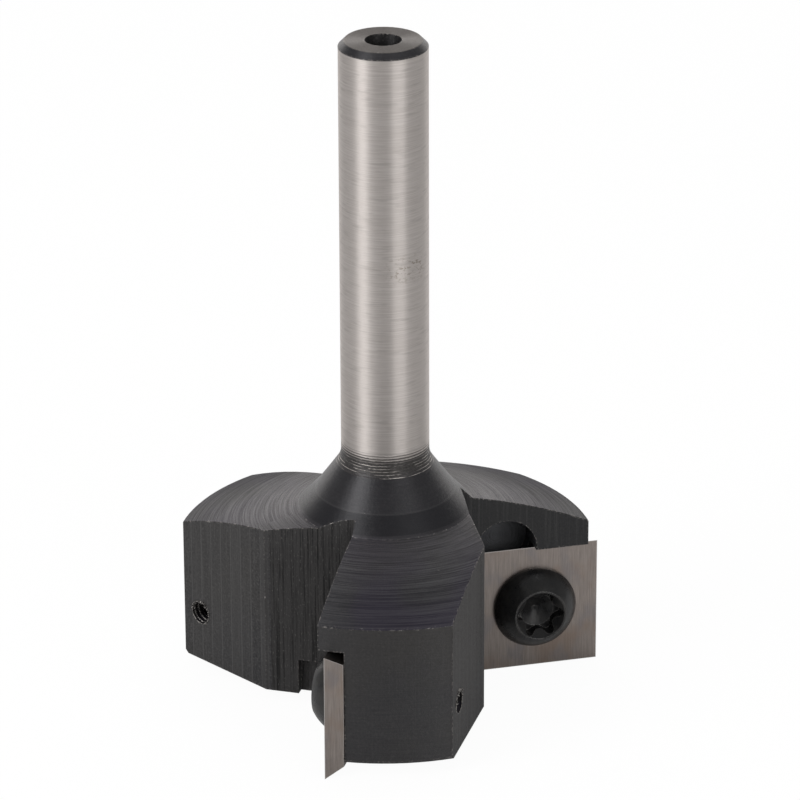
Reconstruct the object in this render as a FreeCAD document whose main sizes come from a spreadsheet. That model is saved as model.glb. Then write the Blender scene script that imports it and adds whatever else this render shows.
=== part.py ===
import FreeCAD, Part
import math
import os
import re
import Sketcher

# Surfacing router bit: a steel body with a round shank, a flare and three wings, three square carbide
# inserts with four cutting edges each, and the three six-lobe button head screws that hold them.
# It stands on the lower edges of its inserts. The origin is on the shank's axis, at those edges, +Z is
# up the shank, and the first wing lies along +X. Seen from the shank end it cuts clockwise, so each
# wing's rake face looks along -Y when the wing lies along +X. Lengths are in millimetres.

doc = FreeCAD.newDocument("surfacing_router_bit")
sheet = doc.addObject("Spreadsheet::Sheet", "sizes")

driving = [
    # Shank and flare
    ("shank_dia", 8.0),
    ("shank_end_chamfer", 0.55),
    ("centre_hole_dia", 3.3),
    ("centre_hole_depth", 9.0),
    ("centre_hole_point_deg", 59.0),
    ("body_height", 61.45),
    ("flare_radius", 2.2),
    ("flare_slope_deg", 54.0),
    ("flare_waist_dia", 12.7),
    ("flare_foot_slope_deg", 46.5),
    ("flare_foot_dia", 16.0),
    # Wings
    ("wing_count", 3),
    ("body_dia", 38.1),
    ("rim_height", 13.4),
    ("wing_rise", 3.5),
    ("wing_top_radius", 52.0),
    ("rim_break", 0.12),
    ("foot_break", 0.3),
    ("rake_face_offset", 0.9),
    ("back_face_offset", 10.6),
    ("gullet_wall", 6.75),
    ("gullet_radius", 0.25),
    ("gullet_outlet", 60.0),
    # How far outside the steel each cut starts
    ("cut_margin", 0.3),
    # Heel relief at the foot of each gullet wall
    ("heel_depth", 0.8),
    ("heel_width", 5.5),
    ("heel_height", 3.4),
    # Square inserts, with the cutting edges on the face that looks forward
    ("insert_side", 12.0),
    ("insert_thickness", 1.5),
    ("insert_bevel_deg", 33.0),
    ("insert_hole_dia", 4.4),
    ("insert_overhang", 1.1),
    ("insert_drop", 1.2),
    ("insert_setback", 0.9),
    # Seats
    ("seat_top_gap", 0.12),
    ("seat_end_gap", 0.35),
    ("lift_relief_radius", 2.93),
    ("lift_relief_inset", 3.0),
    ("lift_relief_rise", 0.3),
    ("lift_relief_depth", 3.6),
    # Tapped holes, which only break through at the back by their drill's point
    ("tapped_end_wall", 1.3),
    ("breakout_dia", 2.2),
    ("breakout_shift", 0.5),
    # Screws: the thread is drawn as a plain cylinder at its pitch diameter
    ("thread_pitch_dia", 3.55),
    ("thread_gap", 0.05),
    ("thread_chamfer", 0.4),
    ("screw_length", 8.0),
    ("head_dia", 7.8),
    ("head_height", 2.25),
    ("head_rim", 0.35),
    ("head_flat_dia", 4.9),
    ("lobe_outer_dia", 4.43),
    ("lobe_inner_dia", 3.17),
    ("lobe_tip_radius", 0.42),
    ("lobe_count", 6),
    ("recess_depth", 1.45),
    ("recess_lead_in", 0.3),
    ("recess_margin", 0.1),
    ("recess_point_deg", 59.0),
]

derived = [
    ("shank_radius", "=shank_dia / 2"),
    ("body_radius", "=body_dia / 2"),
    ("foot_radius", "=flare_foot_dia / 2"),
    ("waist_radius", "=flare_waist_dia / 2"),
    ("body_foot", "=insert_drop"),
    ("body_top", "=insert_drop + body_height"),
    ("rim_level", "=insert_drop + rim_height"),
    ("flare_level", "=rim_level + wing_rise"),
    ("flare_turn", "=90 - flare_slope_deg"),
    ("fillet_end_radius", "=shank_radius + flare_radius * (1 - cos(flare_turn))"),
    ("waist_level", "=flare_level + (foot_radius - waist_radius) * tan(flare_foot_slope_deg)"),
    ("fillet_end_level", "=waist_level + (waist_radius - fillet_end_radius) * tan(flare_slope_deg)"),
    ("fillet_level", "=fillet_end_level + flare_radius * sin(flare_turn)"),
    ("hole_radius", "=centre_hole_dia / 2"),
    ("hole_floor", "=body_top - centre_hole_depth"),
    ("hole_tip", "=hole_floor - hole_radius / tan(centre_hole_point_deg)"),
    ("wing_pitch_deg", "=360 / wing_count"),
    ("back_lean_x", "=cos(wing_pitch_deg)"),
    ("back_lean_y", "=sin(wing_pitch_deg)"),
    ("gullet_corner_y", "=(back_face_offset - gullet_wall * back_lean_y) / back_lean_x"),
    ("gullet_exit_x", "=gullet_wall + gullet_outlet * back_lean_x"),
    ("gullet_exit_y", "=gullet_corner_y - gullet_outlet * back_lean_y"),
    ("insert_reach", "=body_radius + insert_overhang"),
    ("seat_face", "=insert_setback + insert_thickness - rake_face_offset"),
    ("rake_edge_face", "=insert_setback - rake_face_offset"),
    ("seat_top", "=insert_side + seat_top_gap"),
    ("seat_end", "=insert_reach - insert_side - seat_end_gap"),
    ("insert_middle_x", "=insert_reach - insert_side / 2"),
    ("insert_middle_z", "=insert_side / 2"),
    ("insert_inner_x", "=insert_reach - insert_side"),
    ("lift_x", "=insert_inner_x + lift_relief_inset"),
    ("lift_z", "=seat_top + lift_relief_rise"),
    ("thread_radius", "=thread_pitch_dia / 2"),
    ("tapped_radius", "=thread_radius + thread_gap / 2"),
    ("tapped_end", "=back_face_offset - tapped_end_wall"),
    ("head_radius", "=head_dia / 2"),
    ("head_flat_radius", "=head_flat_dia / 2"),
    ("head_face", "=head_height - rake_edge_face"),
    ("crown_height", "=head_height - head_rim"),
    ("crown_drop", "=(head_radius^2 - head_flat_radius^2 - crown_height^2) / (2 * crown_height)"),
    ("crown_radius", "=sqrt(head_radius^2 + crown_drop^2)"),
    ("lobe_inner_radius", "=lobe_inner_dia / 2"),
    ("lead_in_radius", "=lobe_outer_dia / 2 + recess_margin"),
    ("lobe_cos", "=cos(180 / lobe_count)"),
    ("lobe_sin", "=sin(180 / lobe_count)"),
    ("tip_place", "=lobe_outer_dia / 2 - lobe_tip_radius"),
    ("flute_top", "=tip_place^2 + lobe_inner_radius^2 - lobe_tip_radius^2"),
    ("flute_cross", "=2 * tip_place * lobe_inner_radius * lobe_cos"),
    ("flute_base", "=2 * (lobe_tip_radius + tip_place * lobe_cos - lobe_inner_radius)"),
    ("lobe_flute_radius", "=(flute_top - flute_cross) / flute_base"),
    ("flute_place", "=lobe_inner_radius + lobe_flute_radius"),
    ("join_share", "=lobe_tip_radius / (lobe_tip_radius + lobe_flute_radius)"),
    ("lobe_join_along", "=tip_place + join_share * (flute_place * lobe_cos - tip_place)"),
    ("lobe_join_across", "=join_share * flute_place * lobe_sin"),
    ("screw_tip", "=rake_edge_face + screw_length"),
]

for row, (alias, value) in enumerate(driving + derived, start=1):
    sheet.set(f"A{row}", alias)
    sheet.set(f"B{row}", str(value))
    sheet.setAlias(f"B{row}", alias)
doc.recompute()


def size(alias):
    value = sheet.get(alias)
    return float(getattr(value, "Value", value))


def cell(expression):
    # Writes an expression of sheet aliases the way a sketch or feature refers to them
    words = re.split(r"(\w+)", expression)
    functions = ("sin", "cos", "tan", "sqrt")
    return "".join(f"sizes.{w}" if w.isidentifier() and w not in functions else w for w in words)


def evaluate(expression):
    # The number that an expression of the sheet has now, to start a sketch near its solution
    value = sheet.evalExpression(expression)
    return float(getattr(value, "Value", value))


def new_body(label, turn_deg=0.0):
    body = doc.addObject("PartDesign::Body", label)
    body.Label = label
    axis = FreeCAD.Vector(0, 0, 1)
    body.Placement = FreeCAD.Placement(FreeCAD.Vector(0, 0, 0), FreeCAD.Rotation(axis, turn_deg))
    return body


def new_sketch(body, name, role, raised="0", across="0", along="0"):
    # A sketch on one of the body's own origin planes, moved in that plane and along its normal
    sketch = body.newObject("Sketcher::SketchObject", name)
    plane = [f for f in body.Origin.OriginFeatures if f.Role == role][0]
    sketch.AttachmentSupport = [(plane, "")]
    sketch.MapMode = "FlatFace"
    for direction, expression in (("x", across), ("y", along), ("z", raised)):
        if expression != "0":
            sketch.setExpression(f".AttachmentOffset.Base.{direction}", cell(expression))
    return sketch


def bound_constraint(sketch, expression, kind, *where):
    number = sketch.addConstraint(Sketcher.Constraint(kind, *where, evaluate(expression)))
    sketch.setExpression(f"Constraints[{number}]", cell(expression))


def hold_point(sketch, geo, end, across, along):
    # Holds one point of a line, arc or circle at two expressions, measured from the sketch's origin
    bound_constraint(sketch, across, "DistanceX", -1, 1, geo, end)
    bound_constraint(sketch, along, "DistanceY", -1, 1, geo, end)


def add_arc(sketch, start, finish, radius, turns_left):
    # The shorter arc from start to finish; an arc that turns right is stored the other way round
    chord = finish - start
    left = FreeCAD.Vector(-chord.y, chord.x, 0).normalize()
    rise = math.sqrt(max(radius ** 2 - (chord.Length / 2) ** 2, 0))
    middle = (start + finish) * 0.5 + left * (rise if turns_left else -rise)
    first, last = (start, finish) if turns_left else (finish, start)
    round_edge = Part.Circle(middle, FreeCAD.Vector(0, 0, 1), radius)
    from_angle = math.atan2(first.y - middle.y, first.x - middle.x)
    to_angle = math.atan2(last.y - middle.y, last.x - middle.x)
    sketch.addGeometry(Part.ArcOfCircle(round_edge, from_angle, to_angle), False)
    return (1, 2) if turns_left else (2, 1)


def outline(sketch, points, arcs=None):
    # A closed outline. Each point is a pair of expressions, and arcs gives, for the edge that starts
    # at a point's number, the radius and whether it turns left.
    arcs = arcs or {}
    places = [FreeCAD.Vector(evaluate(x), evaluate(y), 0) for x, y in points]
    ends = []
    for i, start in enumerate(places):
        finish = places[(i + 1) % len(places)]
        if i in arcs:
            radius, turns_left = arcs[i]
            ends.append(add_arc(sketch, start, finish, evaluate(radius), turns_left))
            bound_constraint(sketch, radius, "Radius", i)
        else:
            sketch.addGeometry(Part.LineSegment(start, finish), False)
            ends.append((1, 2))
    for i, (x, y) in enumerate(points):
        following = (i + 1) % len(points)
        joint = Sketcher.Constraint("Coincident", i, ends[i][1], following, ends[following][0])
        sketch.addConstraint(joint)
        hold_point(sketch, i, ends[i][0], x, y)


def circle(sketch, across, along, radius):
    middle = FreeCAD.Vector(evaluate(across), evaluate(along), 0)
    sketch.addGeometry(Part.Circle(middle, FreeCAD.Vector(0, 0, 1), evaluate(radius)), False)
    bound_constraint(sketch, radius, "Radius", 0)
    hold_point(sketch, 0, 3, across, along)


def revolved(body, kind, name, sketch):
    feature = body.newObject(f"PartDesign::{kind}", name)
    feature.Profile = sketch
    feature.ReferenceAxis = (sketch, ["V_Axis"])
    feature.Angle = 360
    doc.recompute()
    return feature


def pocket(body, name, sketch, reverse, depth=None):
    cut = body.newObject("PartDesign::Pocket", name)
    cut.Profile = sketch
    cut.Reversed = reverse
    if depth:
        cut.Type = "Length"
        cut.setExpression("Length", cell(depth))
    else:
        cut.Type = "ThroughAll"
    doc.recompute()
    return cut


def spread_round(body, name, features, sketch, count):
    # Repeats features about the sketch's normal through its origin
    pattern = body.newObject("PartDesign::PolarPattern", name)
    pattern.Originals = features
    pattern.Axis = (sketch, ["N_Axis"])
    pattern.Angle = 360
    pattern.setExpression("Occurrences", cell(count))
    body.Tip = pattern
    doc.recompute()
    return pattern


# Cutter body: one turned blank, then everything that is milled, drilled and tapped at one wing,
# repeated at the others
cutter = new_body("cutter_body")

blank_outline = new_sketch(cutter, "blank_outline", "XZ_Plane")
outline(blank_outline, [
    ("0", "body_foot"),
    ("body_radius - foot_break", "body_foot"),
    ("body_radius", "body_foot + foot_break"),
    ("body_radius", "rim_level - rim_break"),
    ("body_radius - rim_break", "rim_level"),
    ("foot_radius", "flare_level"),
    ("waist_radius", "waist_level"),
    ("fillet_end_radius", "fillet_end_level"),
    ("shank_radius", "fillet_level"),
    ("shank_radius", "body_top - shank_end_chamfer"),
    ("shank_radius - shank_end_chamfer", "body_top"),
    ("hole_radius", "body_top"),
    ("hole_radius", "hole_floor"),
    ("0", "hole_tip"),
], {4: ("wing_top_radius", True), 7: ("flare_radius", False)})
revolved(cutter, "Revolution", "blank", blank_outline)

# Gullet: it runs straight through along the shank's direction, between this wing's rake face, the
# wall that stands square to it, and the back face of the wing ahead
gullet_outline = new_sketch(cutter, "gullet_outline", "XY_Plane")
outline(gullet_outline, [
    ("gullet_wall + gullet_radius", "0 - rake_face_offset"),
    ("gullet_wall", "0 - rake_face_offset - gullet_radius"),
    ("gullet_wall", "gullet_corner_y"),
    ("gullet_exit_x", "gullet_exit_y"),
    ("gullet_outlet", "gullet_exit_y"),
    ("gullet_outlet", "0 - rake_face_offset"),
], {0: ("gullet_radius", True)})
gullet = pocket(cutter, "gullet", gullet_outline, True)

# Heel relief: a shallow step at the foot of the gullet wall
heel_outline = new_sketch(cutter, "heel_outline", "XY_Plane", "body_foot")
outline(heel_outline, [
    ("gullet_wall - heel_depth", "0 - rake_face_offset - gullet_radius"),
    ("gullet_wall - heel_depth", "0 - rake_face_offset - heel_width"),
    ("gullet_wall + heel_depth", "0 - rake_face_offset - heel_width"),
    ("gullet_wall + heel_depth", "0 - rake_face_offset - gullet_radius"),
])
heel = pocket(cutter, "heel", heel_outline, True, "heel_height")

# Seat: open at the rake face, at the rim and at the foot, with a lip above it
seat_outline = new_sketch(cutter, "seat_outline", "XZ_Plane", "0 - seat_face")
outline(seat_outline, [
    ("seat_end", "0 - insert_drop"),
    ("insert_reach + insert_drop", "0 - insert_drop"),
    ("insert_reach + insert_drop", "seat_top"),
    ("seat_end", "seat_top"),
])
seat = pocket(cutter, "seat", seat_outline, True, "seat_face + rake_face_offset + cut_margin")

# Lift relief: a round recess over the insert's inner upper part, deeper than the seat
lift_outline = new_sketch(cutter, "lift_outline", "XZ_Plane", "rake_face_offset - lift_relief_depth")
circle(lift_outline, "lift_x", "lift_z", "lift_relief_radius")
lift = pocket(cutter, "lift_relief", lift_outline, True, "lift_relief_depth + cut_margin")

# Tapped hole: from the seat towards the back face, where only a smaller, shifted hole breaks through
tapped_outline = new_sketch(cutter, "tapped_outline", "XZ_Plane", "cut_margin - seat_face")
circle(tapped_outline, "insert_middle_x", "insert_middle_z", "tapped_radius")
tapped = pocket(cutter, "tapped_hole", tapped_outline, False, "tapped_end - seat_face + cut_margin")
breakout_outline = new_sketch(cutter, "breakout_outline", "XZ_Plane", "cut_margin - tapped_end")
circle(breakout_outline, "insert_middle_x - breakout_shift", "insert_middle_z", "breakout_dia / 2")
breakout = pocket(cutter, "breakout", breakout_outline, False, "tapped_end_wall + 2 * cut_margin")

spread_round(cutter, "wings", [gullet, heel, seat, lift, tapped, breakout], gullet_outline, "wing_count")

for wing in range(int(size("wing_count"))):
    turned = wing * size("wing_pitch_deg")
    number = wing + 1

    # Insert: a square plate whose four sides lean in towards its seat, with a hole for the screw
    insert = new_body(f"insert_{number}", turned)
    plate_outline = new_sketch(insert, f"plate_outline_{number}", "XZ_Plane", "0 - rake_edge_face")
    outline(plate_outline, [
        ("insert_inner_x", "0"),
        ("insert_reach", "0"),
        ("insert_reach", "insert_side"),
        ("insert_inner_x", "insert_side"),
    ])
    plate = insert.newObject("PartDesign::Pad", f"plate_{number}")
    plate.Profile = plate_outline
    plate.Reversed = True
    plate.setExpression("Length", cell("insert_thickness"))
    plate.setExpression("TaperAngle", cell("0 - insert_bevel_deg"))
    doc.recompute()
    screw_way = new_sketch(insert, f"screw_way_{number}", "XZ_Plane", "0 - rake_edge_face")
    circle(screw_way, "insert_middle_x", "insert_middle_z", "insert_hole_dia / 2")
    pocket(insert, f"screw_hole_{number}", screw_way, False, "insert_thickness")

    # Screw: a turned button head and shank about the hole's own axis
    screw = new_body(f"screw_{number}", turned)
    axis_place = ("insert_middle_z", "insert_middle_x")
    turned_outline = new_sketch(screw, f"turned_outline_{number}", "XY_Plane", *axis_place)
    outline(turned_outline, [
        ("0", "0 - head_face"),
        ("head_flat_radius", "0 - head_face"),
        ("head_radius", "rake_edge_face - head_rim"),
        ("head_radius", "rake_edge_face"),
        ("thread_radius", "rake_edge_face"),
        ("thread_radius", "screw_tip - thread_chamfer"),
        ("thread_radius - thread_chamfer", "screw_tip"),
        ("0", "screw_tip"),
    ], {1: ("crown_radius", True)})
    revolved(screw, "Revolution", f"turned_{number}", turned_outline)

    # Recess: a coned lead-in, a round core with a drilled point, and six lobes about it
    recess_cut = new_sketch(screw, f"recess_cut_{number}", "XY_Plane", *axis_place)
    outline(recess_cut, [
        ("0", "0 - head_face - recess_lead_in"),
        ("lead_in_radius + recess_lead_in", "0 - head_face - recess_lead_in"),
        ("lobe_inner_radius", "lead_in_radius - lobe_inner_radius - head_face"),
        ("lobe_inner_radius", "recess_depth - head_face"),
        ("0", "recess_depth - head_face + lobe_inner_radius / tan(recess_point_deg)"),
    ])
    revolved(screw, "Groove", f"recess_core_{number}", recess_cut)
    recess_place = ("head_face", "insert_middle_x", "insert_middle_z")
    lobe_outline = new_sketch(screw, f"lobe_outline_{number}", "XZ_Plane", *recess_place)
    outline(lobe_outline, [
        ("0", "0"),
        ("lobe_inner_radius * lobe_cos", "0 - lobe_inner_radius * lobe_sin"),
        ("lobe_join_along", "0 - lobe_join_across"),
        ("lobe_join_along", "lobe_join_across"),
        ("lobe_inner_radius * lobe_cos", "lobe_inner_radius * lobe_sin"),
    ], {1: ("lobe_flute_radius", False), 2: ("lobe_tip_radius", True), 3: ("lobe_flute_radius", False)})
    lobe = pocket(screw, f"lobe_{number}", lobe_outline, False, "recess_depth")
    spread_round(screw, f"lobes_{number}", [lobe], lobe_outline, "lobe_count")

doc.recompute()

for item in doc.Objects:
    failed = [state for state in item.State if state in ("Invalid", "Error")]
    if failed:
        raise RuntimeError(f"{item.Label} is {failed}")

os.makedirs("parts", exist_ok=True)
for item in doc.Objects:
    if item.TypeId != "PartDesign::Body":
        continue
    shape = item.Shape
    if shape.isNull() or not shape.isValid() or len(shape.Solids) != 1:
        raise RuntimeError(f"{item.Label} is not one valid solid")
    shape.exportStep(f"parts/{item.Label}.step")
    print(item.Label, "volume", round(shape.Volume, 3), "faces", len(shape.Faces))
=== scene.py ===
import bpy
import bmesh
from math import cos, pi, radians, sin, tau
from mathutils import Matrix, Vector


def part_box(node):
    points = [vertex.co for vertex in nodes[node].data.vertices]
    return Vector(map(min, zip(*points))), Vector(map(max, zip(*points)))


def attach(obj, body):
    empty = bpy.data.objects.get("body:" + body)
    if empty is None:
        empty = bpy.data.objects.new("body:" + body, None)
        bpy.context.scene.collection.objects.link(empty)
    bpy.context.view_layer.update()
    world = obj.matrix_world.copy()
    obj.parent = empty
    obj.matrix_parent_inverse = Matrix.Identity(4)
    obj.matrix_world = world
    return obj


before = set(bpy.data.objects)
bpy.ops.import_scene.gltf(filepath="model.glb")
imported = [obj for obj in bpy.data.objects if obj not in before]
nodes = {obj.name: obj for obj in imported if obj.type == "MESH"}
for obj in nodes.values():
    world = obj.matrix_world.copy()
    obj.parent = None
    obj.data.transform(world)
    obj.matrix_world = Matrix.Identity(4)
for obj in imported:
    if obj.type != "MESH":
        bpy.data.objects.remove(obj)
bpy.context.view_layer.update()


# Cutter body: one turned steel piece with three milled wings. All of it is black oxide finished, and
# the shank is ground bright afterwards, so the black stays on the flare, the wings and the shank's end.
# Its marks follow how it was cut: rings where it was turned, upright lines where it was milled.

# Places on the body, in millimetres. Out and side are measured from the axis, along a wing and across it
WING_SPREAD = radians(120)
WING_START = radians(-53)
FOOT_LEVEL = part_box("cutter_body")[0][2] * 1000
END_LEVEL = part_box("cutter_body")[1][2] * 1000
END_CHAMFER = 0.55
CENTRE_HOLE_RADIUS = 1.65
SHANK_RADIUS = 4.0
FLARE_TOP_LEVEL = FOOT_LEVEL + 22.58
WAIST_LEVEL = FOOT_LEVEL + 18.64
WAIST_RADIUS = 6.35
FLARE_FOOT_RADIUS = 8.0
RIM_RADIUS = 19.05
BACK_FACE = 10.6
RAKE_FACE = -0.9
GULLET_WALL = 6.75
RELIEF_OUT = 11.15
RELIEF_LEVEL = 12.42
RELIEF_RADIUS = 2.93
RELIEF_DEPTH = 4.0

# Places and sizes of its marks: the milling passes, the rings at the neck, the stain and the worn edges
PASS_WIDTH = 1.33
NECK_PITCH = 0.25
STAIN_LEVEL = 42.4
STAIN_ANGLE = radians(-70)
WORN_WIDTH = 0.24
EDGE_ROUNDING = 0.00008


def new_material(name):
    made = bpy.data.materials.new(name)
    made.use_nodes = True
    made.node_tree.nodes.clear()
    return made, made.node_tree


def feed(tree, socket, value):
    # Gives an input either a link or a plain value
    if isinstance(value, bpy.types.NodeSocket):
        tree.links.new(value, socket)
    else:
        socket.default_value = value


def put(tree, kind, settings=None, **inputs):
    # Adds a node, with settings on the node itself and inputs by socket name
    made = tree.nodes.new(kind)
    for key, value in (settings or {}).items():
        setattr(made, key, value)
    for key, value in inputs.items():
        feed(tree, made.inputs[key.replace("_", " ")], value)
    return made


def calc(tree, operation, *terms, clamp=False):
    made = put(tree, "ShaderNodeMath", {"operation": operation, "use_clamp": clamp})
    for socket, value in zip(made.inputs, terms):
        feed(tree, socket, value)
    return made.outputs[0]


def times(tree, *factors):
    product = factors[0]
    for factor in factors[1:]:
        product = calc(tree, "MULTIPLY", product, factor)
    return product


def add(tree, *terms):
    total = terms[0]
    for term in terms[1:]:
        total = calc(tree, "ADD", total, term)
    return total


def distance(tree, first, second):
    return calc(tree, "SQRT", add(tree, times(tree, first, first), times(tree, second, second)))


def ramp(tree, value, start, end, low=0.0, high=1.0):
    # A smooth step of a value from low at start to high at end
    made = put(tree, "ShaderNodeMapRange", {"interpolation_type": "SMOOTHSTEP"}, Value=value,
               From_Min=start, From_Max=end, To_Min=low, To_Max=high)
    return made.outputs["Result"]


def fall(tree, value, start, end):
    # The same step downwards, from 1 at start to 0 at end
    return ramp(tree, value, start, end, 1.0, 0.0)


def band(tree, value, low, high, soft):
    # 1 between low and high, falling to 0 over a soft width at each side
    return times(tree, ramp(tree, value, low - soft, low), fall(tree, value, high, high + soft))


def blend_value(tree, factor, first, second):
    made = put(tree, "ShaderNodeMix", {"data_type": "FLOAT"}, Factor=factor)
    feed(tree, made.inputs[2], first)
    feed(tree, made.inputs[3], second)
    return made.outputs[0]


def blend_colour(tree, factor, first, second):
    made = put(tree, "ShaderNodeMix", {"data_type": "RGBA"}, Factor=factor)
    for socket, value in ((made.inputs[6], first), (made.inputs[7], second)):
        feed(tree, socket, (*value, 1.0) if isinstance(value, tuple) else value)
    return made.outputs[2]


def coat(tree, under, colour, *shares):
    # Lays a colour over what is under it, as far as the product of its shares says
    return blend_colour(tree, times(tree, *shares), under, colour)


def place_mm(tree):
    # The place on the object in millimetres
    where = put(tree, "ShaderNodeTexCoord").outputs["Object"]
    scaled = put(tree, "ShaderNodeVectorMath", {"operation": "SCALE"}, Scale=1000.0)
    tree.links.new(where, scaled.inputs[0])
    parts = put(tree, "ShaderNodeSeparateXYZ", Vector=scaled.outputs[0])
    return parts.outputs["X"], parts.outputs["Y"], parts.outputs["Z"]


def grain(tree, place, fineness, seed, detail=2.0, roughness=0.5):
    # Noise over up to three numbers, each times how fine its marks are along it
    where = put(tree, "ShaderNodeCombineXYZ")
    for socket, value, fine in zip(where.inputs, place, fineness):
        feed(tree, socket, times(tree, value, fine))
    made = put(tree, "ShaderNodeTexNoise", {"noise_dimensions": "4D"}, Vector=where.outputs[0],
               W=seed, Scale=1.0, Detail=detail, Roughness=roughness)
    return made.outputs["Fac"]


def edge_mask(tree, width_mm, speck, low, high):
    # 1 along sharp edges, broken up by the speck noise, where rounding would turn the surface
    rounded = put(tree, "ShaderNodeBevel", {"samples": 6}, Radius=width_mm / 1000).outputs[0]
    match = put(tree, "ShaderNodeVectorMath", {"operation": "DOT_PRODUCT"})
    tree.links.new(rounded, match.inputs[0])
    tree.links.new(put(tree, "ShaderNodeNewGeometry").outputs["Normal"], match.inputs[1])
    return times(tree, ramp(tree, match.outputs["Value"], 0.995, 0.93), ramp(tree, speck, low, high))


def bumps(tree, height, **inputs):
    # Relief from a height in millimetres
    return put(tree, "ShaderNodeBump", Strength=1.0, Distance=0.001, Height=height, **inputs).outputs[0]


def finish_material(tree, shader):
    put(tree, "ShaderNodeOutputMaterial", Surface=shader.outputs[0])


body_steel, tree = new_material("black_oxide_and_ground_steel")
here = place_mm(tree)
x, y, z = here
radius = distance(tree, x, y)
angle = calc(tree, "ARCTAN2", y, x)
past_start = calc(tree, "SUBTRACT", angle, WING_START)
wing_angle = add(tree, calc(tree, "FLOORED_MODULO", past_start, WING_SPREAD), WING_START)
out = times(tree, radius, calc(tree, "COSINE", wing_angle))
side = times(tree, radius, calc(tree, "SINE", wing_angle))
normal = put(tree, "ShaderNodeNewGeometry").outputs["Normal"]
upward = put(tree, "ShaderNodeSeparateXYZ", Vector=normal).outputs["Z"]

# Where each finish lies: the ground shank, the turned top, the milled backs and the eroded gullet walls
on_shank = times(tree, fall(tree, radius, SHANK_RADIUS + 0.30, SHANK_RADIUS + 0.45),
                 ramp(tree, radius, SHANK_RADIUS - 0.30, SHANK_RADIUS - 0.15))
ring_wander = grain(tree, (x, y), (0.5, 0.5), 3.0)
groove_wave = calc(tree, "SINE", times(tree, z, tau / NECK_PITCH))
ground_level = add(tree, z, times(tree, ring_wander, 0.3), times(tree, groove_wave, 0.34))
bright = times(tree, ramp(tree, ground_level, FLARE_TOP_LEVEL + 0.25, FLARE_TOP_LEVEL + 1.05),
               fall(tree, z, END_LEVEL - END_CHAMFER - 0.10, END_LEVEL - END_CHAMFER - 0.02), on_shank)
end_face = times(tree, ramp(tree, z, END_LEVEL - 0.05, END_LEVEL - 0.02),
                 ramp(tree, radius, CENTRE_HOLE_RADIUS - 0.05, CENTRE_HOLE_RADIUS + 0.05))
top_face = calc(tree, "SUBTRACT", ramp(tree, upward, 0.3, 0.6), end_face, clamp=True)
wing_top = times(tree, top_face, ramp(tree, radius, FLARE_FOOT_RADIUS - 0.3, FLARE_FOOT_RADIUS + 0.1))
# The foot of the flare, which is given painted shade below
shaded_flare_foot = times(tree, top_face, band(tree, radius, WAIST_RADIUS + 0.1, FLARE_FOOT_RADIUS - 0.3, 0.1))
upright = fall(tree, calc(tree, "ABSOLUTE", upward), 0.05, 0.15)
back_face = times(tree, upright, ramp(tree, side, BACK_FACE - 0.25, BACK_FACE - 0.1))
gullet_face = times(tree, upright, band(tree, out, GULLET_WALL - 1.4, GULLET_WALL + 0.8, 0.4),
                    fall(tree, side, RAKE_FACE - 0.3, RAKE_FACE + 0.2))
milled = calc(tree, "MAXIMUM", back_face, gullet_face)
rake_face = times(tree, upright, band(tree, side, RAKE_FACE - 0.1, RAKE_FACE + 0.1, 0.05),
                  ramp(tree, out, GULLET_WALL, GULLET_WALL + 0.3))
relief_reach = distance(tree, calc(tree, "SUBTRACT", out, RELIEF_OUT),
                        calc(tree, "SUBTRACT", z, RELIEF_LEVEL))
in_relief = times(tree, fall(tree, relief_reach, RELIEF_RADIUS + 0.03, RELIEF_RADIUS + 0.09),
                  band(tree, side, RAKE_FACE + 0.1, RELIEF_DEPTH, 0.05))
turned_rim = times(tree, upright, ramp(tree, radius, RIM_RADIUS - 0.10, RIM_RADIUS - 0.04))
rough_share = calc(tree, "SUBTRACT", 1.0, times(tree, turned_rim, 0.75))

# Marks: fine rings on turned faces, upright lines on milled ones, and grains of the oxide itself
turned_rings = grain(tree, (radius, angle, z), (7.0, 1.6, 7.0), 1.0, 5.0, 0.75)
relief_rings = grain(tree, (relief_reach,), (5.0,), 16.0, 3.0, 0.7)
ground_rings = grain(tree, here, (0.35, 0.35, 16.0), 2.0, 3.0, 0.6)
ground_scores = grain(tree, here, (0.6, 0.6, 3.0), 8.0, 1.0)
mill_lines = grain(tree, here, (6.0, 6.0, 0.12), 5.0, 3.0, 0.6)
wall_lines = grain(tree, (side, out, z), (5.5, 5.5, 0.07), 6.0, 4.0, 0.85)
wall_pits = grain(tree, (side, out, z), (8.0, 8.0, 2.5), 14.0, 3.0, 0.7)
oxide_grain = grain(tree, here, (7.0, 7.0, 7.0), 7.0, 4.0, 0.6)
oxide_speck = grain(tree, here, (4.6, 4.6, 4.6), 15.0, 4.0, 0.75)
oxide_cloud = grain(tree, here, (0.12, 0.12, 0.12), 9.0, 2.0)
nicks = grain(tree, here, (1.7, 1.7, 1.7), 19.0, 4.0, 0.8)
pass_place = calc(tree, "DIVIDE", out, PASS_WIDTH)
pass_tone = put(tree, "ShaderNodeTexWhiteNoise", {"noise_dimensions": "1D"},
                W=calc(tree, "FLOOR", pass_place)).outputs["Value"]
pass_edge = band(tree, calc(tree, "FRACT", pass_place), 0.06, 0.09, 0.05)
cut_lines = times(tree, upright, rough_share, ramp(tree, mill_lines, 0.50, 0.68, 0.0, 0.45),
                  ramp(tree, radius, 4.8, 5.0), blend_value(tree, rake_face, 1.0, 0.5))

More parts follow.
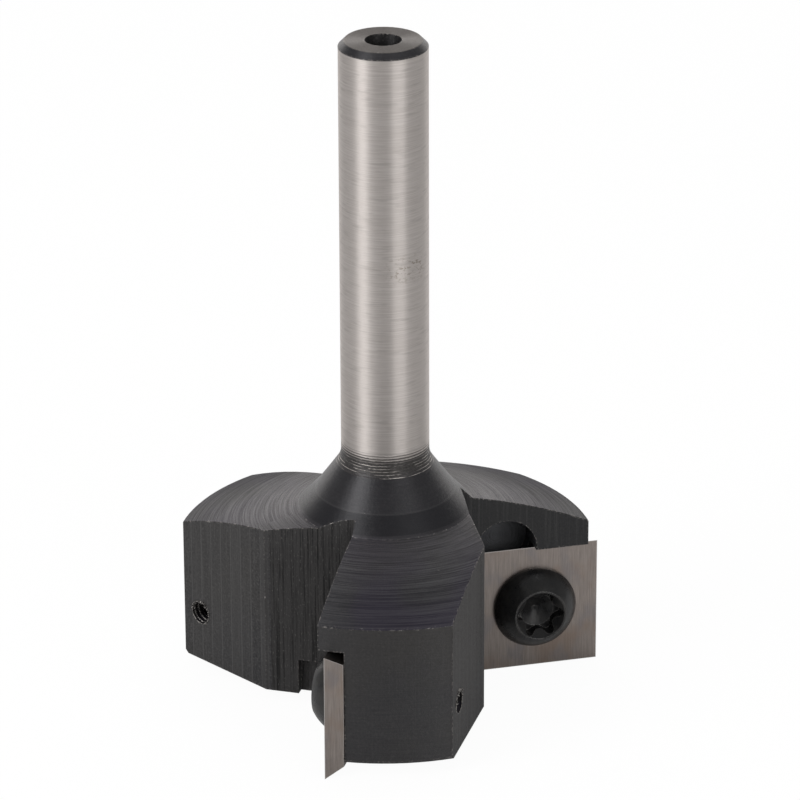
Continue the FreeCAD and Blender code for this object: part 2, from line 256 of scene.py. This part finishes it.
# The tool left a few deep rings where the ground shank runs into the flare, bright on their crests
ring_breaks = grain(tree, here, (0.35, 0.35, 3.0), 10.0, 4.0, 0.7)
neck = times(tree, band(tree, z, FLARE_TOP_LEVEL - 1.30, FLARE_TOP_LEVEL + 0.75, 0.08),
             fall(tree, radius, SHANK_RADIUS + 0.60, SHANK_RADIUS + 0.72))
neck_level = add(tree, z, times(tree, ring_wander, 0.10))
neck_wave = calc(tree, "SINE", times(tree, neck_level, tau / NECK_PITCH))
neck_crests = times(tree, neck, ramp(tree, neck_wave, 0.55, 1.0))
bright_crests = times(tree, neck_crests, ramp(tree, ring_breaks, 0.46, 0.58))
neck_rub = times(tree, neck, ramp(tree, z, FLARE_TOP_LEVEL - 0.2, FLARE_TOP_LEVEL + 0.8, 0.15, 0.55))
# A thin band where the flare bends at its waist, which carries a painted highlight line
waist_highlight = times(tree, band(tree, z, WAIST_LEVEL - 0.04, WAIST_LEVEL + 0.04, 0.05),
                   fall(tree, radius, WAIST_RADIUS + 0.25, WAIST_RADIUS + 0.35))

# Colours of the oxide, from blue-black to brown-black, lighter on the worn ridges of its marks, with painted
# shade on the flare foot and painted light on the wing tops, the relief and the waist
BLACK = (0.006, 0.006, 0.006)
ring_share = blend_value(tree, wing_top, 0.45, ramp(tree, radius, 11.0, 16.0, 0.80, 0.30))
ring_share = times(tree, top_face, ring_share)
worn = edge_mask(tree, WORN_WIDTH, oxide_speck, 0.50, 0.64)
oxide = blend_colour(tree, ramp(tree, oxide_cloud, 0.35, 0.65), (0.029, 0.028, 0.030), (0.034, 0.032, 0.031))
for colour, *shares in (
        ((0.088, 0.084, 0.083), rough_share, ramp(tree, oxide_speck, 0.52, 0.64, 0.0, 0.68)),
        (BLACK, rough_share, ramp(tree, oxide_speck, 0.48, 0.38, 0.0, 0.75)),
        ((0.024, 0.023, 0.027), top_face, 0.8),
        ((0.028, 0.024, 0.038), wing_top, ramp(tree, oxide_cloud, 0.40, 0.60, 0.0, 0.8)),
        ((0.066, 0.063, 0.068), ring_share, ramp(tree, turned_rings, 0.52, 0.68, 0.0, 0.45)),
        ((0.006, 0.006, 0.008), ring_share, ramp(tree, turned_rings, 0.46, 0.36, 0.0, 0.70)),
        # Painted sheen: the wing tops are painted lighter towards the axis
        ((0.075, 0.071, 0.070), wing_top, ramp(tree, radius, 16.0, 9.0, 0.0, 0.30)),
        # Painted shade: the foot of the flare is painted darker
        ((0.008, 0.008, 0.011), shaded_flare_foot, 0.65),
        ((0.052, 0.050, 0.050), back_face, ramp(tree, pass_tone, 0.0, 1.0, 0.0, 0.60)),
        ((0.095, 0.092, 0.092), back_face, pass_edge, 0.50),
        ((0.008, 0.008, 0.009), rake_face, 0.85),
        ((0.070, 0.068, 0.067), cut_lines),
        ((0.055, 0.053, 0.052), turned_rim, ramp(tree, ground_rings, 0.40, 0.65, 0.0, 0.25)),
        ((0.046, 0.044, 0.044), gullet_face),
        (BLACK, gullet_face, ramp(tree, wall_lines, 0.49, 0.42, 0.0, 0.95)),
        ((0.150, 0.145, 0.140), gullet_face, ramp(tree, wall_pits, 0.56, 0.66, 0.0, 0.7)),
        # Painted light: the inner wall of the relief is painted lighter, as if lit from the front
        ((0.078, 0.080, 0.086), in_relief),
        ((0.118, 0.106, 0.098), end_face),
        ((0.420, 0.385, 0.360), worn, 0.7),
        ((0.300, 0.280, 0.260), ramp(tree, nicks, 0.695, 0.725), rough_share, 0.8),
        ((0.850, 0.800, 0.760), worn, ramp(tree, nicks, 0.56, 0.61), 0.9),
        # Painted highlight: a faint light line along the waist of the flare
        ((0.110, 0.110, 0.110), waist_highlight, 0.10),
        ((0.130, 0.115, 0.105), neck_rub),
        ((0.750, 0.700, 0.660), bright_crests)):
    oxide = coat(tree, oxide, colour, *shares)

# Colours of the ground shank, with the faint brown stain that it has half way up one side
steel = blend_colour(tree, ramp(tree, ground_rings, 0.35, 0.65), (0.51, 0.468, 0.442), (0.62, 0.578, 0.552))
steel = coat(tree, steel, (0.36, 0.33, 0.31), ramp(tree, ground_scores, 0.56, 0.72, 0.0, 0.30))
stain_height = calc(tree, "ABSOLUTE", calc(tree, "SUBTRACT", z, STAIN_LEVEL))
stain_turn = calc(tree, "ABSOLUTE", calc(tree, "SUBTRACT", angle, STAIN_ANGLE))
stain_spots = grain(tree, here, (2.2, 2.2, 3.4), 18.0, 3.0, 0.7)
steel = coat(tree, steel, (0.20, 0.155, 0.105), fall(tree, stain_height, 0.4, 1.7),
             fall(tree, stain_turn, 0.25, 0.7), ramp(tree, stain_spots, 0.52, 0.62, 0.0, 0.55))
colour = blend_colour(tree, bright, oxide, steel)

# Gloss: the oxide is duller where it is rough, and the turned tops are duller towards the rim
metal = ramp(tree, calc(tree, "MAXIMUM", bright, bright_crests), 0.1, 0.8, 0.30, 1.0)
dull = blend_value(tree, gullet_face, ramp(tree, oxide_grain, 0.3, 0.7, 0.42, 0.54),
                   ramp(tree, wall_pits, 0.3, 0.7, 0.50, 0.72))
top_gloss = add(tree, ramp(tree, turned_rings, 0.3, 0.7, 0.04, -0.04),
                ramp(tree, radius, 8.0, 18.0, 0.33, 0.56))
dull = blend_value(tree, top_face, dull, top_gloss)
roughness = blend_value(tree, bright, dull, ramp(tree, ground_rings, 0.3, 0.7, 0.40, 0.48))
ring_gleam = blend_value(tree, wing_top, 0.5, ramp(tree, turned_rings, 0.38, 0.62, 0.20, 0.85))

# Relief of the marks, each as deep as its last number says
height = times(tree, oxide_grain, 0.003)
for marks in ((oxide_speck, calc(tree, "SUBTRACT", 1.0, bright), 0.024),
              (ring_share, turned_rings, 0.048),
              (back_face, mill_lines, 0.020),
              (gullet_face, wall_lines, 0.08),
              (gullet_face, wall_pits, 0.04),
              (bright, ground_rings, 0.003),
              (neck_crests, 0.045),
              (in_relief, relief_rings, 0.10)):
    height = add(tree, height, times(tree, *marks))
soft_edge = put(tree, "ShaderNodeBevel", {"samples": 6}, Radius=EDGE_ROUNDING).outputs[0]

# Gloss stretches across the cutting lines, which go round on turned faces and straight up on milled ones
round_line = put(tree, "ShaderNodeCombineXYZ", X=times(tree, y, -1.0), Y=x, Z=0.001)
upright_line = put(tree, "ShaderNodeCombineXYZ", Z=1.0)
cut_line = put(tree, "ShaderNodeMix", {"data_type": "VECTOR"}, Factor=milled)
tree.links.new(round_line.outputs[0], cut_line.inputs[4])
tree.links.new(upright_line.outputs[0], cut_line.inputs[5])
across_line = put(tree, "ShaderNodeVectorMath", {"operation": "CROSS_PRODUCT"})
tree.links.new(cut_line.outputs[1], across_line.inputs[0])
tree.links.new(normal, across_line.inputs[1])
shader = put(tree, "ShaderNodeBsdfPrincipled", Base_Color=colour, Metallic=metal, Roughness=roughness,
             Specular_IOR_Level=ring_gleam, Anisotropic=0.85, Tangent=across_line.outputs[0],
             Normal=bumps(tree, height, Normal=soft_edge))
finish_material(tree, shader)


def dress(node_name, material):
    owner = nodes[node_name]
    owner.data.materials.clear()
    owner.data.materials.append(material)


dress("cutter_body", body_steel)


# Break-through holes: the tap and drill of each tapped hole come out at the back face of its wing,
# and leave a thin lip, torn chips along its lower side and the crests of a few last thread turns.

torn_steel, tree = new_material("torn_steel")
here = place_mm(tree)
torn_grain = grain(tree, here, (9.0, 9.0, 9.0), 31.0, 3.0, 0.6)
colour = blend_colour(tree, ramp(tree, torn_grain, 0.45, 0.62), (0.035, 0.034, 0.034), (0.36, 0.34, 0.32))
shader = put(tree, "ShaderNodeBsdfPrincipled", Base_Color=colour, Metallic=0.7,
             Roughness=ramp(tree, torn_grain, 0.3, 0.7, 0.5, 0.3),
             Normal=bumps(tree, times(tree, torn_grain, 0.02)))
finish_material(tree, shader)

# Where the first hole is, the sizes of its parts in metres, and how finely they are drawn
HOLE_PLACE = (0.01365, 0.0106, 0.006)
BURR_SIZES = {"Hole Radius": 0.00110, "Lip Thickness": 0.00006, "Chip Size": 0.00017,
              "Thread Pitch": 0.0005, "Thread Crest": 0.00012, "Tear": 0.00012}
LIP_STEPS = 56
LIP_SIDES = 8
CHIPS = 11
CHIP_ROUNDNESS = 3
CHIP_START = radians(195)
CHIP_SWEEP = radians(130)
THREAD_TURNS = 2.2
THREAD_STEPS = 40
THREAD_SIDES = 4
LIP_TEAR_FINENESS = 1900.0
CHIP_TEAR_FINENESS = 2600.0

burr_tree = bpy.data.node_groups.new("torn_hole_edges", "GeometryNodeTree")
burr_sockets = burr_tree.interface
burr_sockets.new_socket("Geometry", in_out="INPUT", socket_type="NodeSocketGeometry")
burr_inputs = {}
for label, size in BURR_SIZES.items():
    socket = burr_sockets.new_socket(label, in_out="INPUT", socket_type="NodeSocketFloat")
    socket.default_value = size
    burr_inputs[label] = socket.identifier
burr_sockets.new_socket("Geometry", in_out="OUTPUT", socket_type="NodeSocketGeometry")
given = burr_tree.nodes.new("NodeGroupInput")
result = burr_tree.nodes.new("NodeGroupOutput")


def torn(shape, fineness, seed):
    # Moves every point of a shape by a noise of its own place, so that the metal looks torn
    noise = put(burr_tree, "ShaderNodeTexNoise", {"noise_dimensions": "4D"}, W=seed, Scale=fineness,
                Detail=2.0, Vector=put(burr_tree, "GeometryNodeInputPosition").outputs[0])
    centred = put(burr_tree, "ShaderNodeVectorMath", {"operation": "SUBTRACT"})
    burr_tree.links.new(noise.outputs["Color"], centred.inputs[0])
    centred.inputs[1].default_value = (0.5, 0.5, 0.5)
    pushed = put(burr_tree, "ShaderNodeVectorMath", {"operation": "SCALE"}, Scale=given.outputs["Tear"])
    burr_tree.links.new(centred.outputs[0], pushed.inputs[0])
    return put(burr_tree, "GeometryNodeSetPosition", Geometry=shape, Offset=pushed.outputs[0]).outputs[0]


def ring_curve(radius, steps):
    made = put(burr_tree, "GeometryNodeCurvePrimitiveCircle", {"mode": "RADIUS"}, Radius=radius,
               Resolution=steps)
    return made.outputs[0]


def random_vector(seed, low, high):
    made = put(burr_tree, "FunctionNodeRandomValue", {"data_type": "FLOAT_VECTOR"}, Seed=seed)
    made.inputs[0].default_value = low
    made.inputs[1].default_value = high
    return made.outputs[0]


hole_radius = given.outputs["Hole Radius"]
lip = put(burr_tree, "GeometryNodeCurveToMesh", Curve=ring_curve(hole_radius, LIP_STEPS),
          Profile_Curve=ring_curve(given.outputs["Lip Thickness"], LIP_SIDES)).outputs[0]
lip = torn(lip, LIP_TEAR_FINENESS, 3.0)

chip_line = put(burr_tree, "GeometryNodeCurveArc", {"mode": "RADIUS"}, Radius=hole_radius,
                Resolution=CHIPS, Start_Angle=CHIP_START, Sweep_Angle=CHIP_SWEEP).outputs[0]
chip = put(burr_tree, "GeometryNodeMeshIcoSphere", Radius=given.outputs["Chip Size"],
           Subdivisions=CHIP_ROUNDNESS).outputs[0]
chips = put(burr_tree, "GeometryNodeInstanceOnPoints", Points=chip_line, Instance=chip,
            Rotation=random_vector(5, (0.0, 0.0, 0.0), (tau, tau, tau)),
            Scale=random_vector(6, (0.5, 0.4, 0.3), (1.5, 1.2, 0.8))).outputs[0]
chips = put(burr_tree, "GeometryNodeRealizeInstances", Geometry=chips).outputs[0]
chips = torn(chips, CHIP_TEAR_FINENESS, 4.0)

rise = times(burr_tree, given.outputs["Thread Pitch"], THREAD_TURNS)
helix = put(burr_tree, "GeometryNodeCurveSpiral", Start_Radius=hole_radius, End_Radius=hole_radius,
            Height=rise, Rotations=THREAD_TURNS, Resolution=THREAD_STEPS).outputs[0]
crests = put(burr_tree, "GeometryNodeCurveToMesh", Curve=helix, Fill_Caps=True,
             Profile_Curve=ring_curve(given.outputs["Thread Crest"], THREAD_SIDES)).outputs[0]

one_hole = burr_tree.nodes.new("GeometryNodeJoinGeometry")
for shape in (lip, chips, crests):
    burr_tree.links.new(shape, one_hole.inputs[0])
on_back = put(burr_tree, "GeometryNodeTransform", Geometry=one_hole.outputs[0], Translation=HOLE_PLACE,
              Rotation=(radians(-90), 0, pi)).outputs[0]
wings = put(burr_tree, "GeometryNodeMeshLine", Count=3, Offset=(0.0, 0.0, 0.0)).outputs[0]
wing_number = put(burr_tree, "GeometryNodeInputIndex").outputs[0]
wing_turn = put(burr_tree, "ShaderNodeCombineXYZ", Z=times(burr_tree, wing_number, WING_SPREAD)).outputs[0]
holes = put(burr_tree, "GeometryNodeInstanceOnPoints", Points=wings, Instance=on_back,
            Rotation=wing_turn).outputs[0]
holes = put(burr_tree, "GeometryNodeRealizeInstances", Geometry=holes).outputs[0]
coated = put(burr_tree, "GeometryNodeSetMaterial", Geometry=holes, Material=torn_steel).outputs[0]
burr_tree.links.new(coated, result.inputs[0])

start_mesh = bpy.data.meshes.new("torn_hole_edges_start")
maker = bpy.data.objects.new("torn_hole_edges_start", start_mesh)
bpy.context.scene.collection.objects.link(maker)
grower = maker.modifiers.new("torn_hole_edges", "NODES")
grower.node_group = burr_tree
for label, size in BURR_SIZES.items():
    grower[burr_inputs[label]] = size
grown = maker.evaluated_get(bpy.context.evaluated_depsgraph_get())
burr_mesh = bpy.data.meshes.new_from_object(grown)
bpy.data.objects.remove(maker)
shell = bmesh.new()
shell.from_mesh(burr_mesh)
bmesh.ops.remove_doubles(shell, verts=shell.verts, dist=1e-7)
bmesh.ops.recalc_face_normals(shell, faces=shell.faces)
shell.to_mesh(burr_mesh)
shell.free()
burrs = bpy.data.objects.new("torn_hole_edges", burr_mesh)
bpy.context.scene.collection.objects.link(burrs)
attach(burrs, "root")


# Inserts: square plates of sintered carbide, ground on the face and on the four leaning sides, so
# each shows fine straight lines. Their upper face carries four cutting edges, and one screw holds
# each of them down in its seat.

carbide, tree = new_material("ground_carbide")
here = place_mm(tree)
grind_lines = grain(tree, here, (9.0, 9.0, 0.35), 11.0, 4.0, 0.7)
warm_tint = grain(tree, here, (0.35, 0.35, 0.24), 12.0, 3.0)
cool_tint = grain(tree, here, (0.5, 0.5, 0.3), 17.0, 3.0)
sinter = grain(tree, here, (22.0, 22.0, 22.0), 13.0, 2.0)
colour = blend_colour(tree, ramp(tree, grind_lines, 0.35, 0.65), (0.232, 0.202, 0.185), (0.312, 0.275, 0.252))
colour = coat(tree, colour, (0.25, 0.185, 0.145), ramp(tree, warm_tint, 0.44, 0.66, 0.0, 0.55))
colour = coat(tree, colour, (0.19, 0.185, 0.20), ramp(tree, cool_tint, 0.48, 0.68, 0.0, 0.45))
LIT_WIDTH = 0.12
colour = coat(tree, colour, (0.75, 0.73, 0.71), edge_mask(tree, LIT_WIDTH, sinter, 0.30, 0.45), 0.5)
height = add(tree, times(tree, grind_lines, 0.004), times(tree, sinter, 0.001))
shader = put(tree, "ShaderNodeBsdfPrincipled", Base_Color=colour, Metallic=1.0,
             Roughness=ramp(tree, grind_lines, 0.3, 0.7, 0.30, 0.42), Normal=bumps(tree, height))
finish_material(tree, shader)
for number in (1, 2, 3):
    dress(f"insert_{number}", carbide)


# Screws: turned button heads with a six-lobe recess, black oxide over a smooth forged crown, which
# makes them glossier than the body. Each goes through its insert into the tapped hole of a wing.

screw_steel, tree = new_material("glossy_black_oxide")
here = place_mm(tree)
crown_cloud = grain(tree, here, (1.1, 1.1, 1.1), 21.0, 3.0)
crown_grain = grain(tree, here, (12.0, 12.0, 12.0), 22.0, 3.0)
crown_dents = grain(tree, here, (1.6, 1.6, 1.6), 23.0, 3.0, 0.6)
RUBBED_AND_HIGHLIGHT_WIDTH = 0.16
CROWN_ROUNDING = 0.00010
colour = blend_colour(tree, ramp(tree, crown_cloud, 0.35, 0.7), (0.026, 0.026, 0.027), (0.034, 0.033, 0.032))
# Thin light lines along the screw's sharp edges, most of all round the recess: partly rubbed wear, partly
# painted highlight
colour = coat(tree, colour, (0.22, 0.21, 0.20), edge_mask(tree, RUBBED_AND_HIGHLIGHT_WIDTH, crown_grain, 0.42, 0.55), 0.55)
height = add(tree, times(tree, crown_grain, 0.004), times(tree, crown_dents, 0.05))
soft_edge = put(tree, "ShaderNodeBevel", {"samples": 6}, Radius=CROWN_ROUNDING).outputs[0]
shader = put(tree, "ShaderNodeBsdfPrincipled", Base_Color=colour, Metallic=0.5,
             Roughness=ramp(tree, crown_cloud, 0.3, 0.7, 0.26, 0.37),
             Normal=bumps(tree, height, Normal=soft_edge))
finish_material(tree, shader)
for number in (1, 2, 3):
    dress(f"screw_{number}", screw_steel)


# Studio: a plain white floor with soft light from above and both sides, and the camera where the
# photograph's was. The floor shows itself to the camera almost white and keeps a faint shadow.

WHITE = (1.0, 1.0, 1.0, 1.0)
FLOOR_PAINT = (0.82, 0.82, 0.82, 1.0)
FLOOR_GLOW = 1.02
FLOOR_HALF = 3.0
FLOOR_TO_CAMERA = 0.94
FLOOR_TO_GLOSS = 0.15


def plain_sheet(name, corners, material):
    # A flat rectangle of the set
    mesh = bpy.data.meshes.new(name)
    mesh.from_pydata(corners, [], [(0, 1, 2, 3)])
    sheet = bpy.data.objects.new(name, mesh)
    sheet.data.materials.append(material)
    bpy.context.scene.collection.objects.link(sheet)
    return sheet


floor_white, tree = new_material("white_floor")
light_path = put(tree, "ShaderNodeLightPath")
to_camera = times(tree, light_path.outputs["Is Camera Ray"], FLOOR_TO_CAMERA)
to_gloss = times(tree, light_path.outputs["Is Glossy Ray"], FLOOR_TO_GLOSS)
mixed = put(tree, "ShaderNodeMixShader", Fac=calc(tree, "MAXIMUM", to_camera, to_gloss))
tree.links.new(put(tree, "ShaderNodeBsdfDiffuse", Color=FLOOR_PAINT).outputs[0], mixed.inputs[1])
tree.links.new(put(tree, "ShaderNodeEmission", Color=WHITE, Strength=FLOOR_GLOW).outputs[0], mixed.inputs[2])
finish_material(tree, mixed)
floor = plain_sheet("floor", [(-FLOOR_HALF, -FLOOR_HALF, 0), (FLOOR_HALF, -FLOOR_HALF, 0),
                              (FLOOR_HALF, FLOOR_HALF, 0), (-FLOOR_HALF, FLOOR_HALF, 0)], floor_white)

# A warm white board stands far behind the object, and shows in the faces that lean away from the camera
BOARD_DISTANCE = 1.3
BOARD_LEFT = -0.8
BOARD_RIGHT = 3.4
BOARD_FOOT = 0.001
BOARD_TOP = 0.85
BOARD_TONE = (1.0, 0.968, 0.945, 1.0)
BOARD_GLOW = 1.38
board_white, tree = new_material("white_board")
finish_material(tree, put(tree, "ShaderNodeEmission", Color=BOARD_TONE, Strength=BOARD_GLOW))
board_corners = [(BOARD_LEFT, BOARD_DISTANCE, BOARD_FOOT), (BOARD_RIGHT, BOARD_DISTANCE, BOARD_FOOT),
                 (BOARD_RIGHT, BOARD_DISTANCE, BOARD_TOP), (BOARD_LEFT, BOARD_DISTANCE, BOARD_TOP)]
board = plain_sheet("board", board_corners, board_white)

# The camera sees a white background, and the object is lit by a dimmer one
BACKGROUND_LIGHT = 0.30
BACKGROUND_SEEN = 1.0
world = bpy.data.worlds.new("studio")
world.use_nodes = True
tree = world.node_tree
tree.nodes.clear()
to_camera = put(tree, "ShaderNodeLightPath").outputs["Is Camera Ray"]
around = put(tree, "ShaderNodeBackground", Color=WHITE,
             Strength=blend_value(tree, to_camera, BACKGROUND_LIGHT, BACKGROUND_SEEN))
put(tree, "ShaderNodeOutputWorld", Surface=around.outputs[0])
bpy.context.scene.world = world

LAMP_DISTANCE = 0.70
LAMP_TARGET = Vector((0, 0, 0.03))


def direction_of(azimuth, elevation):
    return Vector((sin(azimuth) * cos(elevation), -cos(azimuth) * cos(elevation), sin(elevation)))


def soft_box(name, azimuth, elevation, width, tall, watts):
    # A rectangular light that looks at the middle of the object
    lamp = bpy.data.lights.new(name, "AREA")
    lamp.shape = "RECTANGLE"
    lamp.size = width
    lamp.size_y = tall
    lamp.energy = watts
    holder = bpy.data.objects.new(name, lamp)
    direction = direction_of(radians(azimuth), radians(elevation))
    holder.location = LAMP_TARGET + direction * LAMP_DISTANCE
    holder.rotation_euler = direction.to_track_quat("Z", "Y").to_euler()
    bpy.context.scene.collection.objects.link(holder)


soft_box("left_box", -71, 32, 0.34, 0.60, 2.7)
soft_box("right_box", 24, 15, 0.42, 0.32, 1.12)
soft_box("top_box", 150, 70, 0.50, 0.50, 0.9)

CAMERA_PLACE = Vector((-0.101802, -0.404024, 0.208218))
VIEW_AZIMUTH = radians(-14.329)
VIEW_ELEVATION = radians(23.354)
VIEW_ROLL = radians(-0.2085)
camera_data = bpy.data.cameras.new("camera")
camera_data.sensor_width = 36.0
camera_data.lens = 226.49
camera_data.clip_start = 0.01
camera = bpy.data.objects.new("camera", camera_data)
turn = direction_of(VIEW_AZIMUTH, VIEW_ELEVATION).to_track_quat("Z", "Y").to_matrix().to_4x4()
camera.matrix_world = Matrix.Translation(CAMERA_PLACE) @ turn @ Matrix.Rotation(VIEW_ROLL, 4, "Z")
bpy.context.scene.collection.objects.link(camera)
bpy.context.scene.camera = camera
bpy.context.scene.view_settings.view_transform = "Standard"
